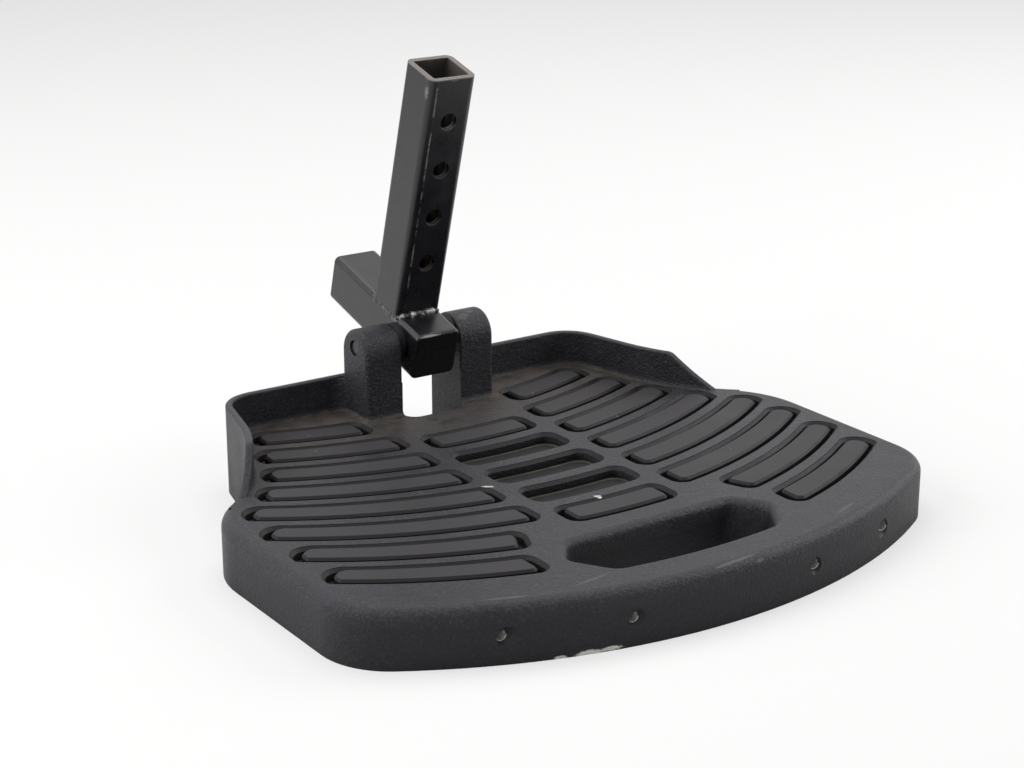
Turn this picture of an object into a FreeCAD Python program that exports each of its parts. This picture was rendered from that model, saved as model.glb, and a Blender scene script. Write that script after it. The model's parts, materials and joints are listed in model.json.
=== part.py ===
import FreeCAD, Part
import math
import os
from FreeCAD import Vector

# Centre-mount flip-up foot platform: a cast footplate with rubber tread bars, and a
# welded square-tube arm that turns on a cross pin between two cast ears.
# Millimetres. While modelling, X = 0 is the plane of symmetry, the pin's axis lies
# over Y = 0, the toe end is towards -Y, and Z = 0 is the floor. At the end every piece
# is moved along Y, so that the origin is below the middle of the whole part.

# ---- footplate outline, seen from above ----
HALF_WIDTH = 161.0          # toe section, centre to side
TOE_Y = -253.0              # foremost point of the toe edge
TOE_ARCH_R = 280.0          # toe edge, seen from above
TOE_CORNER_R = 35.0
SHOULDER_Y = -107.0         # where the straight side turns into the shoulder
SHOULDER_R = 50.0
SHOULDER_TURN = 40.0        # degrees that the shoulder's large arc turns
SHOULDER_TIP_R = 6.0        # small arc between the shoulder and the notch
HEEL_BACK_Y = 15.5          # rear face of the heel section
HEEL_HALF_WIDTH = 109.6     # at the rear corners
HEEL_CORNER_R = 20.0
HEEL_SPLAY = 13.5           # degrees that the heel's sides open towards the toe
HEEL_SIDE_LENGTH = 26.0     # straight stretch of the heel's side
HEEL_FLARE_R = 95.5         # concave arc from there to the notch
HEEL_OVERLAP = 16.0         # how far the heel section runs on inside the toe section
HEEL_RUN_OUT = 4.5          # its level top runs on this far past the notch

# ---- footplate heights and walls ----
PLATE_HEIGHT = 27.0         # floor to tread surface
PLATE_SKIN = 8.0            # thickness under the tread surface
SKIRT = 4.0                 # side walls of the hollow underside
TOE_EDGE_R = 5.0            # rounding of the toe section's top edge
RIB = 4.0
RIB_LIFT = 3.0              # the ribs stop this far above the floor
RIB_X = 33.5                # the two long ribs, between centre and side bars
RIB_YS = (-182.0, -126.0, -70.0)

# ---- heel wall ----
WALL = 3.6
WALL_TOP = 45.0
FOOT_R = 2.5                # fillet from walls and ears to the tread surface
WALL_LEVEL_END_Y = -50.5    # the wall's top stays level to here
WALL_END_GAP = 2.5          # its slope reaches the tread surface this far before the notch
WALL_SHOULDER_R = 5.0       # rounding where it turns down to the notch
WALL_SLOPE_SHARE = 0.8      # at most this share of the slope is rounded away
WALL_RIM_R = 1.2
WALL_RUN_OUT = 8.0          # how far past the notch the wall is drawn before it is cut to its slope

# ---- tread bars and their pockets ----
ROW_ARC_R = 255.0           # every bar follows an arc of this radius
FIRST_ROW_Y = -29.3         # front wall of the first side bar, carried on to X = 0
LAST_ROW_GAP = 30.5         # toe edge to the front wall of the last side bar, at X = 0
BAR_WIDTH = 14.2
BAR_PROUD = 0.3             # bar top above the tread surface
BAR_CHAMFER = 1.2
BAR_INNER_R = 3.2           # corners at a bar's inner end
BAR_REAR_R = 6.0            # corner at its outer end, towards the heel
BAR_POINT_R = 1.8           # pointed corner at its outer end, towards the toe, and its pocket's
GROOVE = 2.0                # gap between a bar's long sides and its pocket's wall
END_GROOVE = 3.6            # the same gap at the bar's ends
POCKET_DEPTH = 5.0
POCKET_CHAMFER = 1.7
# each side bar from the heel to the toe: its inner end, the margin from its outer end to the
# plate's edge, and the slant of its inner end
SIDE_BARS = (
    (46.3, 14.2, 0.0),
    (42.3, 10.6, 0.0),
    (42.3, 9.1, 0.0),
    (42.3, 9.1, 0.0),
    (42.3, 10.7, 0.0),
    (42.3, 13.6, 0.0),
    (58.7, 13.6, 6.5),
    (71.3, 13.6, 0.0),
)
CENTRE_HALF_LENGTH = 25.1
CENTRE_ROWS = 5
FIRST_CENTRE_Y = -63.8      # front wall of the first centre bar, at X = 0
LAST_CENTRE_GAP = 76.4      # toe edge to the front wall of the last centre bar, at X = 0
CENTRE_BARS = {"tread_bar_centre_rear": 0, "tread_bar_centre_front": 4}

# ---- hand slot ----
HAND_RIM = 22.1             # metal between the toe edge and the slot, in the middle
HAND_CORNER_BACK = 3.4      # the slot's corners, measured back from the middle of its front
HAND_CORNER_HALF = 43.5
HAND_TIP_BACK = 22.4
HAND_TIP_HALF = 55.5
HAND_REAR_BACK = 36.9
HAND_REAR_HALF = 45.0
HAND_CORNER_R = 7.0
HAND_EDGE_R = 4.0

# ---- threaded holes in the toe edge ----
RIM_HOLE_XS = (49.4, 104.5)
RIM_HOLE_Z = 12.6
RIM_HOLE_R = 2.5
RIM_HOLE_DEPTH = 15.0
RIM_MOUTH_R = 4.0
RIM_MOUTH_DEPTH = 1.6
RIM_BOSS_R = 6.4
RIM_BOSS_END = 3.0          # metal left behind the end of a hole

# ---- hinge ears ----
PIN_Z = 62.3
PIN_R = 4.0
PIN_RECESS = 1.0            # pin end below the ear's outer face
PIN_CHAMFER = 0.7
EAR_GAP_HALF = 17.3         # centre to an ear's inner face
EAR_THICKNESS = 20.2
EAR_R = 12.5                # round top, which is also half the ear's depth
EAR_ROUND_DROP = 3.3        # the round top's centre lies this far below the pin's axis
EAR_EDGE_R = 2.6            # outer edges
EAR_INNER_EDGE_R = 1.0
EAR_WALL_R = 7.5            # fillet from the ear to the heel wall
GAP_FRONT_Y = -20.0         # the gap runs on through the plate to here
GAP_CORNER_R = 7.0

# ---- arm: square tubes ----
TUBE = 25.4
ARM_LEAN = 15.97            # degrees that the arm leans forward at rest
STUB_TOP = 11.7             # stub's upper face above the pin's axis
STUB_WALL = 3.0
STUB_CORNER_R = 3.2
STUB_FRONT = -17.65         # ends, measured along the stub from the pin's axis
STUB_REAR = 68.05
PLUG_FLANGE = 3.0
PLUG_EDGE_R = 1.8
PLUG_DEPTH = 12.0
PLUG_WALL = 2.0
PLUG_CLEARANCE = 0.1
PLUG_SPIGOT_R = 1.0
BORE_CORNER_R = 0.3         # least corner radius inside a tube
POST_WALL = 2.8
POST_CORNER_R = 3.6
POST_CENTRE = 15.05         # along the stub from the pin's axis
POST_LENGTH = 129.6
POST_HOLES = 4
POST_HOLE_R = 4.4
POST_HOLE_PITCH = 25.93
POST_TOP_TO_HOLE = 22.45
WELD_R = 2.3                # bead round the foot of the post
WELD_EDGE_R = 2.2

# ---- arm: pivot and stop ----
SLEEVE_R = 7.0
BUSH_R = 5.0
BUSH_LENGTH = 11.0
BUSH_FLANGE_R = 9.0
RUNNING_CLEARANCE = 0.05    # pin in its bushes, on the radius
SIDE_CLEARANCE = 0.3        # each bush flange to its ear
STOP_R = 3.5
STOP_SEAT_Y = 10.0          # the seats cut for the stop bar start this far behind the pin's axis
STOP_OVERLAP = 8.0          # length of the bar's end that lies over an ear
STOP_GAP = 0.3
STOP_EAR_CLEARANCE = 0.4
STOP_CHAMFER = 0.8
STOP_WELD = 3.0

BIG = 400.0                 # past any face of the part, for cutting tools
TOUCH = 1e-3                # points nearer than this are the same
PAST = 1.0                  # how far a cutting tool runs past the face it opens
LEAN = math.radians(ARM_LEAN)
STUB_BOTTOM = STUB_TOP - TUBE
EAR_OUTER = EAR_GAP_HALF + EAR_THICKNESS
TREAD_FLOOR = PLATE_HEIGHT - POCKET_DEPTH
UNDERSIDE = PLATE_HEIGHT - PLATE_SKIN


# ---- helpers ----
def polar(centre, radius, degrees):
    angle = math.radians(degrees)
    return Vector(centre.x + radius * math.cos(angle), centre.y + radius * math.sin(angle), 0)


def arc(centre, radius, start, end):
    middle = polar(centre, radius, (start + end) / 2)
    return Part.Arc(polar(centre, radius, start), middle, polar(centre, radius, end)).toShape()


def line(start, end):
    return Part.LineSegment(start, end).toShape()


def mirrored(shape):
    return shape.mirror(Vector(0, 0, 0), Vector(1, 0, 0))


def both_sides(shape):
    return [shape, mirrored(shape)]


def closed_from_half(half):
    """Close a right half outline, which starts and ends on X = 0, with its mirror image."""
    return Part.Wire(Part.__sortEdges__(half + [mirrored(edge) for edge in half]))


def prism(wire, low, high):
    face = Part.Face(wire)
    face.translate(Vector(0, 0, low))
    return face.extrude(Vector(0, 0, high - low))


def box(x0, x1, y0, y1, z0, z1):
    return Part.makeBox(x1 - x0, y1 - y0, z1 - z0, Vector(x0, y0, z0))


def cross_cylinder(radius, x0, x1, y=0.0, z=0.0):
    return Part.makeCylinder(radius, x1 - x0, Vector(x0, y, z), Vector(1, 0, 0))


def side_profile(points, x0, x1):
    """Extrude a closed profile of (y, z) points along X."""
    wire = Part.makePolygon([Vector(x0, y, z) for y, z in points + [points[0]]])
    return Part.Face(wire).extrude(Vector(x1 - x0, 0, 0))


def joined(shapes):
    first = shapes[0]
    return first.fuse(shapes[1:]).removeSplitter()


def is_vertical(edge):
    low, high = edge.Vertexes[0].Point, edge.Vertexes[-1].Point
    return (low - high).Length > 1e-6 and abs(low.z - high.z) > 0.99 * (low - high).Length


def upright_edges(shape, chosen):
    return [edge for edge in shape.Edges if is_vertical(edge) and chosen(edge.Vertexes[0].Point)]


def edges_at_height(shape, height):
    return [edge for edge in shape.Edges
            if abs(edge.BoundBox.ZMin - height) < TOUCH and abs(edge.BoundBox.ZMax - height) < TOUCH]


# ---- footplate ----
def toe_outline():
    arch_centre = Vector(0, TOE_Y + TOE_ARCH_R, 0)
    corner_x = HALF_WIDTH - TOE_CORNER_R
    reach = TOE_ARCH_R - TOE_CORNER_R
    corner_centre = Vector(corner_x, arch_centre.y - math.sqrt(reach ** 2 - corner_x ** 2), 0)
    arch_turn = math.degrees(math.atan2(corner_centre.y - arch_centre.y, corner_x))
    shoulder_centre = Vector(HALF_WIDTH - SHOULDER_R, SHOULDER_Y, 0)
    tip_centre = polar(shoulder_centre, SHOULDER_R - SHOULDER_TIP_R, SHOULDER_TURN)
    tip = polar(tip_centre, SHOULDER_TIP_R, 90)
    half = [
        arc(arch_centre, TOE_ARCH_R, -90, arch_turn),
        arc(corner_centre, TOE_CORNER_R, arch_turn, 0),
        line(Vector(HALF_WIDTH, corner_centre.y, 0), Vector(HALF_WIDTH, SHOULDER_Y, 0)),
        arc(shoulder_centre, SHOULDER_R, 0, SHOULDER_TURN),
        arc(tip_centre, SHOULDER_TIP_R, SHOULDER_TURN, 90),
        line(tip, Vector(0, tip.y, 0)),
    ]
    return closed_from_half(half), tip.y


def heel_outline(notch_y, run_out=0.0):
    """The heel section, which ends at the notch or runs out past it, and closes inside the toe section."""
    end_y = notch_y - run_out
    corner_centre = Vector(HEEL_HALF_WIDTH - HEEL_CORNER_R, HEEL_BACK_Y - HEEL_CORNER_R, 0)
    side_top = polar(corner_centre, HEEL_CORNER_R, HEEL_SPLAY)
    splay = math.radians(HEEL_SPLAY)
    along = Vector(math.sin(splay), -math.cos(splay), 0)
    outward = Vector(math.cos(splay), math.sin(splay), 0)
    side_end = side_top + along * HEEL_SIDE_LENGTH
    flare_centre = side_end + outward * HEEL_FLARE_R
    flare_end = math.degrees(math.asin((flare_centre.y - end_y) / HEEL_FLARE_R))
    end = polar(flare_centre, HEEL_FLARE_R, 180 + flare_end)
    inner = Vector(end.x - HEEL_OVERLAP, end.y - HEEL_OVERLAP, 0)
    half = [
        line(Vector(0, HEEL_BACK_Y, 0), Vector(corner_centre.x, HEEL_BACK_Y, 0)),
        arc(corner_centre, HEEL_CORNER_R, 90, HEEL_SPLAY),
        line(side_top, side_end),
        arc(flare_centre, HEEL_FLARE_R, 180 + HEEL_SPLAY, 180 + flare_end),
        line(end, inner),
        line(inner, Vector(0, inner.y, 0)),
    ]
    return closed_from_half(half)


def plan_outline(toe, heel):
    """The outline of the whole plate, seen from above."""
    block = joined([prism(toe, 0, PAST), prism(heel, 0, PAST)])
    return [face for face in block.Faces if face.BoundBox.ZMax < TOUCH][0].OuterWire


def inset(wire, distance):
    return wire.makeOffset2D(-distance)


def row_y(front_y, x):
    return front_y + ROW_ARC_R - math.sqrt(ROW_ARC_R ** 2 - x ** 2)


def band(x_in, x_out, front_y, width, slant, low, high):
    """A slice of tread row: two equal arcs, one width apart, closed by straight ends."""
    def row_edge(x0, x1, offset):
        points = [Vector(x, row_y(front_y, x) + offset, 0) for x in (x0, (x0 + x1) / 2, x1)]
        return Part.Arc(*points).toShape(), points[0], points[-1]

    front, front_in, front_out = row_edge(x_in + slant, x_out, 0.0)
    rear, rear_in, rear_out = row_edge(x_in, x_out, width)
    wire = Part.Wire([front, line(front_out, rear_out), rear, line(rear_in, front_in)])
    return prism(wire, low, high)


def rounded_band(bar, side_gap, end_gap, low, high):
    """A slice of tread row with rounded corners; a side bar's outer end has one pointed corner."""
    x_in, x_out, front_y, is_side_bar, slant = bar
    middle = (x_in + x_out) / 2
    width = BAR_WIDTH + 2 * side_gap
    solid = band(x_in - end_gap, x_out + end_gap, front_y - side_gap, width, slant, low, high)
    if not is_side_bar:
        return solid.makeFillet(BAR_INNER_R + side_gap, upright_edges(solid, lambda p: True))
    solid = solid.makeFillet(BAR_INNER_R + side_gap, upright_edges(solid, lambda p: p.x < middle))
    for radius, pick in ((BAR_POINT_R, min), (BAR_REAR_R + side_gap, max)):
        outer = upright_edges(solid, lambda p: p.x > middle)
        solid = solid.makeFillet(radius, [pick(outer, key=lambda edge: edge.Vertexes[0].Point.y)])
    return solid


def row_end_x(plan, front_y):
    """Where the middle line of a row first meets the plate's edge, on the right."""
    half = (HALF_WIDTH + PAST) / 2
    points = [Vector(x, row_y(front_y, x) + BAR_WIDTH / 2, 0) for x in (0, half, 2 * half)]
    return min(vertex.X for vertex in plan.section(Part.Arc(*points).toShape()).Vertexes)


def side_rows(plan):
    pitch = (FIRST_ROW_Y - TOE_Y - LAST_ROW_GAP) / (len(SIDE_BARS) - 1)
    rows = []
    for index, (x_in, margin, slant) in enumerate(SIDE_BARS):
        front_y = FIRST_ROW_Y - index * pitch
        rows.append((x_in, row_end_x(plan, front_y) - margin, front_y, True, slant))
    return rows


def centre_row(index):
    pitch = (FIRST_CENTRE_Y - TOE_Y - LAST_CENTRE_GAP) / (CENTRE_ROWS - 1)
    front_y = FIRST_CENTRE_Y - index * pitch
    return (-CENTRE_HALF_LENGTH, CENTRE_HALF_LENGTH, front_y, False, 0.0)


def tread_bar(bar):
    top = PLATE_HEIGHT + BAR_PROUD
    solid = rounded_band(bar, 0.0, 0.0, TREAD_FLOOR, top)
    return solid.makeChamfer(BAR_CHAMFER, edges_at_height(solid, top))


def pocket(bar):
    return rounded_band(bar, GROOVE, END_GROOVE, TREAD_FLOOR, PLATE_HEIGHT + PAST)


def hand_slot_outline(grow):
    front_y = TOE_Y + HAND_RIM
    rear = Vector(HAND_REAR_HALF, front_y + HAND_REAR_BACK, 0)
    tip = Vector(HAND_TIP_HALF, front_y + HAND_TIP_BACK, 0)
    corner = Vector(HAND_CORNER_HALF, front_y + HAND_CORNER_BACK, 0)
    far_corner = Vector(-corner.x, corner.y, 0)
    front = Part.Arc(corner, Vector(0, front_y, 0), far_corner).toShape()
    half = [line(Vector(0, rear.y, 0), rear), line(rear, tip), line(tip, corner)]
    sides = half + [mirrored(edge) for edge in half]
    block = prism(Part.Wire(Part.__sortEdges__(sides + [front])), 0, 1)
    block = block.makeFillet(HAND_CORNER_R, upright_edges(block, lambda p: abs(p.x) > TOUCH))
    outline = Part.Wire(Part.__sortEdges__(edges_at_height(block, 0)))
    return outline.makeOffset2D(grow) if grow else outline


def gap_tool(grow, low, high):
    """The slot between the ears, which runs through the plate and out of its rear."""
    solid = box(-EAR_GAP_HALF - grow, EAR_GAP_HALF + grow, GAP_FRONT_Y - grow, BIG, low, high)
    return solid.makeFillet(GAP_CORNER_R + grow, upright_edges(solid, lambda p: p.y < 0))


def rim_hole_y(x):
    """Where the toe edge lies at a given distance from the centre."""
    return TOE_Y + TOE_ARCH_R - math.sqrt(TOE_ARCH_R ** 2 - x ** 2)


def rim_hole(x):
    mouth = Vector(x, rim_hole_y(x), RIM_HOLE_Z)
    back = Vector(0, 1, 0)
    bore = Part.makeCylinder(RIM_HOLE_R, RIM_HOLE_DEPTH + RIM_MOUTH_R, mouth - back * RIM_MOUTH_R, back)
    slope = (RIM_MOUTH_R - RIM_HOLE_R) / RIM_MOUTH_DEPTH
    lead = 2.0 * RIM_MOUTH_DEPTH
    mouth_r = RIM_MOUTH_R + slope * lead
    cone = Part.makeCone(mouth_r, RIM_HOLE_R, lead + RIM_MOUTH_DEPTH, mouth - back * lead, back)
    return [bore, cone]


def rim_boss(x):
    """The metal round a rim hole, joined to the skin above it."""
    start = rim_hole_y(x) + SKIRT / 2
    end = rim_hole_y(x) + RIM_HOLE_DEPTH + RIM_BOSS_END
    round_part = Part.makeCylinder(RIM_BOSS_R, end - start, Vector(x, start, RIM_HOLE_Z), Vector(0, 1, 0))
    web = box(x - RIM_BOSS_R, x + RIM_BOSS_R, start, end, RIM_HOLE_Z, UNDERSIDE)
    return joined([round_part, web])


def stop_place():
    """Centre of the stop bar in the (y, z) of the plate, z measured from the pin's axis."""
    y = STOP_SEAT_Y + STOP_EAR_CLEARANCE + STOP_R
    below_stub = STUB_BOTTOM - STOP_R
    return y, (below_stub + y * math.sin(LEAN)) / math.cos(LEAN)


def stop_seat_z():
    return PIN_Z + stop_place()[1] - STOP_R - STOP_GAP


def ear():
    """One ear: an upright with a round top, and the ledge behind it that the stop bar rests on."""
    x0, x1 = EAR_GAP_HALF, EAR_OUTER
    round_z = PIN_Z - EAR_ROUND_DROP
    upright = box(x0, x1, -EAR_R, EAR_R, 0, round_z).fuse(cross_cylinder(EAR_R, x0, x1, 0, round_z))
    upright = upright.removeSplitter()
    for x, radius in ((x1, EAR_EDGE_R), (x0, EAR_INNER_EDGE_R)):
        rim = [edge for edge in upright.Edges
               if abs(edge.BoundBox.XMin - x) < TOUCH and abs(edge.BoundBox.XMax - x) < TOUCH
               and edge.BoundBox.ZMax > TOUCH]
        upright = upright.makeFillet(radius, rim)
    return upright.fuse(box(x0, x1, 0, HEEL_BACK_Y, 0, stop_seat_z()))


def wall_profile(notch_y):
    """The heel wall seen from the side: level, rounded, then sloping down to the notch."""
    end_y = notch_y + WALL_END_GAP
    points = [
        (BIG, PLATE_HEIGHT),
        (BIG, WALL_TOP),
        (WALL_LEVEL_END_Y, WALL_TOP),
        (end_y, PLATE_HEIGHT),
    ]
    solid = side_profile(points, -BIG, BIG)
    bend = [edge for edge in edges_at_height(solid, WALL_TOP) if edge.BoundBox.YMax < 0]
    slope = math.atan2(WALL_TOP - PLATE_HEIGHT, WALL_LEVEL_END_Y - end_y)
    run = math.hypot(WALL_TOP - PLATE_HEIGHT, WALL_LEVEL_END_Y - end_y)
    radius = min(WALL_SHOULDER_R, WALL_SLOPE_SHARE * run / math.tan(slope / 2))
    return solid.makeFillet(radius, bend)


def heel_wall(notch_y):
    """The wall with its rounded rim, and the cove that joins its foot to the tread surface."""
    outline = heel_outline(notch_y, WALL_RUN_OUT)
    inner = prism(inset(outline, WALL), PLATE_HEIGHT, WALL_TOP)
    profile = wall_profile(notch_y)
    wall = prism(outline, PLATE_HEIGHT, WALL_TOP).cut(inner).common(profile)
    wall = wall.makeFillet(WALL_RIM_R, edges_at_height(wall, WALL_TOP))
    room = inner.makeFillet(FOOT_R, edges_at_height(inner, PLATE_HEIGHT))
    below_rim = profile.copy()
    below_rim.translate(Vector(0, 0, -WALL_RIM_R))
    return wall.fuse(inner.cut(room).common(below_rim))


def ear_feet(outline):
    """The fillets round the ears' feet, and from each ear to the heel wall."""
    ears = box(-EAR_OUTER, EAR_OUTER, -EAR_R, BIG, PLATE_HEIGHT, WALL_TOP)
    space = prism(inset(outline, WALL), PLATE_HEIGHT, WALL_TOP).cut(ears)
    for radius, at_front in ((EAR_EDGE_R, True), (EAR_WALL_R, False)):
        at_ears = upright_edges(space, lambda p: abs(abs(p.x) - EAR_OUTER) < TOUCH)
        corners = [edge for edge in at_ears if (edge.Vertexes[0].Point.y < 0) == at_front]
        space = space.makeFillet(radius, corners)
    space = space.makeFillet(FOOT_R, edges_at_height(space, PLATE_HEIGHT))
    side = EAR_OUTER + EAR_WALL_R + FOOT_R
    front = -EAR_R - 2 * FOOT_R
    block = box(-side, side, front, HEEL_BACK_Y, PLATE_HEIGHT, WALL_TOP - WALL_RIM_R)
    return block.cut(space)


def underside(plan):
    """The hollow under the plate, with its ribs, rim bosses and walls round the openings."""
    hollow = prism(inset(plan, SKIRT), -PAST, UNDERSIDE)
    long_ribs = both_sides(box(RIB_X - RIB / 2, RIB_X + RIB / 2, TOE_Y, HEEL_BACK_Y, RIB_LIFT, UNDERSIDE))
    cross_ribs = [box(-HALF_WIDTH, HALF_WIDTH, y - RIB / 2, y + RIB / 2, RIB_LIFT, UNDERSIDE) for y in RIB_YS]
    bosses = [boss for x in RIM_HOLE_XS for boss in both_sides(rim_boss(x))]
    ear_roots = both_sides(box(EAR_GAP_HALF, EAR_OUTER, -EAR_R, HEEL_BACK_Y, -PAST, UNDERSIDE))
    rings = [prism(hand_slot_outline(SKIRT), -PAST, UNDERSIDE), gap_tool(SKIRT, -PAST, UNDERSIDE)]
    return hollow.cut(long_ribs + cross_ribs + bosses + ear_roots + rings)


def rim_edges(slab, tools):
    """The edges that the tools left in the tread surface."""
    rims = []
    for edge in edges_at_height(slab, PLATE_HEIGHT):
        middle = edge.valueAt((edge.FirstParameter + edge.LastParameter) / 2)
        if any(tool.isInside(middle, TOUCH, True) for tool in tools):
            rims.append(edge)
    return rims


def stop_seats():
    """Clears the way of the stop bar's ends down to the ledges behind the ears."""
    side = EAR_GAP_HALF + STOP_OVERLAP + STOP_EAR_CLEARANCE
    return box(-side, side, STOP_SEAT_Y, BIG, stop_seat_z(), PIN_Z)


def footplate(toe, heel, notch_y, plan, rows):
    toe_block = prism(toe, 0, PLATE_HEIGHT)
    toe_block = toe_block.makeFillet(TOE_EDGE_R, edges_at_height(toe_block, PLATE_HEIGHT))
    slab = joined([toe_block, prism(heel_outline(notch_y, HEEL_RUN_OUT), 0, PLATE_HEIGHT)])
    pockets = [tool for bar in rows for tool in both_sides(pocket(bar))]
    pockets += [pocket(centre_row(index)) for index in range(CENTRE_ROWS)]
    slab = slab.cut(pockets)
    slab = slab.makeChamfer(POCKET_CHAMFER, rim_edges(slab, pockets))
    hand = prism(hand_slot_outline(0), -PAST, PLATE_HEIGHT + PAST)
    slab = slab.cut(hand)
    slab = slab.makeFillet(HAND_EDGE_R, rim_edges(slab, [hand]))
    body = slab.fuse([heel_wall(notch_y), ear_feet(heel)] + both_sides(ear()))
    body = body.cut([underside(plan), gap_tool(0, -PAST, BIG), stop_seats()])
    bores = [tool for x in RIM_HOLE_XS for tool in rim_hole(x)]
    bores += [mirrored(tool) for tool in bores]
    bores.append(cross_cylinder(PIN_R, -EAR_OUTER - PAST, EAR_OUTER + PAST, 0, PIN_Z))
    return body.cut(bores).removeSplitter()


def hinge_pin():
    half = EAR_OUTER - PIN_RECESS
    pin = cross_cylinder(PIN_R, -half, half, 0, PIN_Z)
    ends = [edge for edge in pin.Edges if edge.BoundBox.XLength < 1e-6]
    return pin.makeChamfer(PIN_CHAMFER, ends)


# ---- arm, modelled upright about the pin's axis and then leaned forward ----
def square_bar(size, corner_r, length):
    """A square bar along Z from the origin, with rounded corners."""
    bar = box(-size / 2, size / 2, -size / 2, size / 2, 0, length)
    return bar.makeFillet(corner_r, upright_edges(bar, lambda p: True))


def square_tube(size, wall, corner_r, length):
    hole = square_bar(size - 2 * wall, max(corner_r - wall, BORE_CORNER_R), length)
    return square_bar(size, corner_r, length).cut(hole)


def lay_along_stub(shape, start):
    """Turn a bar from Z to Y and set its start at a distance along the stub."""
    turned = shape.copy()
    turned.rotate(Vector(0, 0, 0), Vector(1, 0, 0), -90)
    turned.translate(Vector(0, start, STUB_TOP - TUBE / 2))
    return turned


def stub_tube():
    start = STUB_FRONT + PLUG_FLANGE
    length = STUB_REAR - PLUG_FLANGE - start
    tube = lay_along_stub(square_tube(TUBE, STUB_WALL, STUB_CORNER_R, length), start)
    return tube.cut(cross_cylinder(SLEEVE_R, -TUBE, TUBE))


def end_plug():
    """Push-in plug: a rounded flange at Z = 0 and a hollow spigot that runs up inside the tube."""
    flange = square_bar(TUBE, STUB_CORNER_R, PLUG_FLANGE)
    flange = flange.makeFillet(PLUG_EDGE_R, edges_at_height(flange, 0))
    spigot_size = TUBE - 2 * STUB_WALL - 2 * PLUG_CLEARANCE
    spigot = square_tube(spigot_size, PLUG_WALL, PLUG_SPIGOT_R, PLUG_DEPTH)
    spigot.translate(Vector(0, 0, PLUG_FLANGE))
    return flange.fuse(spigot)


def stub_front_plug():
    plug = lay_along_stub(end_plug(), STUB_FRONT)
    return plug.cut(cross_cylinder(SLEEVE_R + PLUG_CLEARANCE, -TUBE, TUBE))


def stub_rear_plug():
    plug = end_plug()
    plug.rotate(Vector(0, 0, 0), Vector(1, 0, 0), 180)
    return lay_along_stub(plug, STUB_REAR)


def post_hole_height(index):
    return STUB_TOP + POST_LENGTH - POST_TOP_TO_HOLE - index * POST_HOLE_PITCH


def post_tube():
    tube = square_tube(TUBE, POST_WALL, POST_CORNER_R, POST_LENGTH)
    tube.translate(Vector(0, POST_CENTRE, STUB_TOP))
    holes = []
    for index in range(POST_HOLES):
        start = Vector(0, POST_CENTRE - TUBE, post_hole_height(index))
        holes.append(Part.makeCylinder(POST_HOLE_R, 2 * TUBE, start, Vector(0, 1, 0)))
    return tube.cut(holes)


def tube_space():
    """The two tubes without their bores, to trim what is welded against them."""
    post = square_bar(TUBE, POST_CORNER_R, POST_LENGTH)
    post.translate(Vector(0, POST_CENTRE, STUB_TOP))
    length = STUB_REAR - STUB_FRONT
    return [post, lay_along_stub(square_bar(TUBE, STUB_CORNER_R, length), STUB_FRONT)]


def post_weld():
    """A bead round the foot of the post, trimmed to the two tubes and flush with their sides."""
    size = TUBE + 2 * WELD_R
    bead = square_bar(size, POST_CORNER_R + WELD_R, 2 * WELD_R)
    bead = bead.makeFillet(WELD_EDGE_R, edges_at_height(bead, 2 * WELD_R))
    bead = bead.makeFillet(WELD_EDGE_R, edges_at_height(bead, 0))
    bead.translate(Vector(0, POST_CENTRE, STUB_TOP - WELD_R))
    between_sides = box(-TUBE / 2, TUBE / 2, -BIG, BIG, -BIG, BIG)
    return bead.common(between_sides).cut(tube_space())


def pivot_sleeve():
    return cross_cylinder(SLEEVE_R, -TUBE / 2, TUBE / 2).cut(cross_cylinder(BUSH_R, -TUBE, TUBE))


def bush():
    flange_end = EAR_GAP_HALF - SIDE_CLEARANCE
    body = cross_cylinder(BUSH_R, TUBE / 2 - BUSH_LENGTH, flange_end)
    flange = cross_cylinder(BUSH_FLANGE_R, TUBE / 2, flange_end)
    return body.fuse(flange).cut(cross_cylinder(PIN_R + RUNNING_CLEARANCE, 0, TUBE))


def stop_along_stub():
    y, z = stop_place()
    return y * math.cos(LEAN) + z * math.sin(LEAN)


def stop_bar():
    half = EAR_GAP_HALF + STOP_OVERLAP
    bar = cross_cylinder(STOP_R, -half, half, stop_along_stub(), STUB_BOTTOM - STOP_R)
    ends = [edge for edge in bar.Edges if edge.BoundBox.XLength < 1e-6]
    return bar.makeChamfer(STOP_CHAMFER, ends)


def stop_bar_weld():
    """Two short fillet beads between the stop bar and the underside of the stub."""
    half = TUBE / 2 - STUB_CORNER_R
    reach = STOP_R + STOP_WELD
    middle = stop_along_stub()
    points = [(middle - reach, STUB_BOTTOM), (middle, STUB_BOTTOM - reach), (middle + reach, STUB_BOTTOM)]
    wedge = side_profile(points, -half, half)
    floor = box(-TUBE, TUBE, -BIG, BIG, STUB_BOTTOM - STOP_R - BIG, STUB_BOTTOM - STOP_R)
    bar = cross_cylinder(STOP_R, -TUBE, TUBE, middle, STUB_BOTTOM - STOP_R)
    return wedge.cut([floor, bar])


def leaned(shape):
    placed = shape.copy()
    placed.rotate(Vector(0, 0, 0), Vector(1, 0, 0), ARM_LEAN)
    placed.translate(Vector(0, 0, PIN_Z))
    return placed


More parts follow.
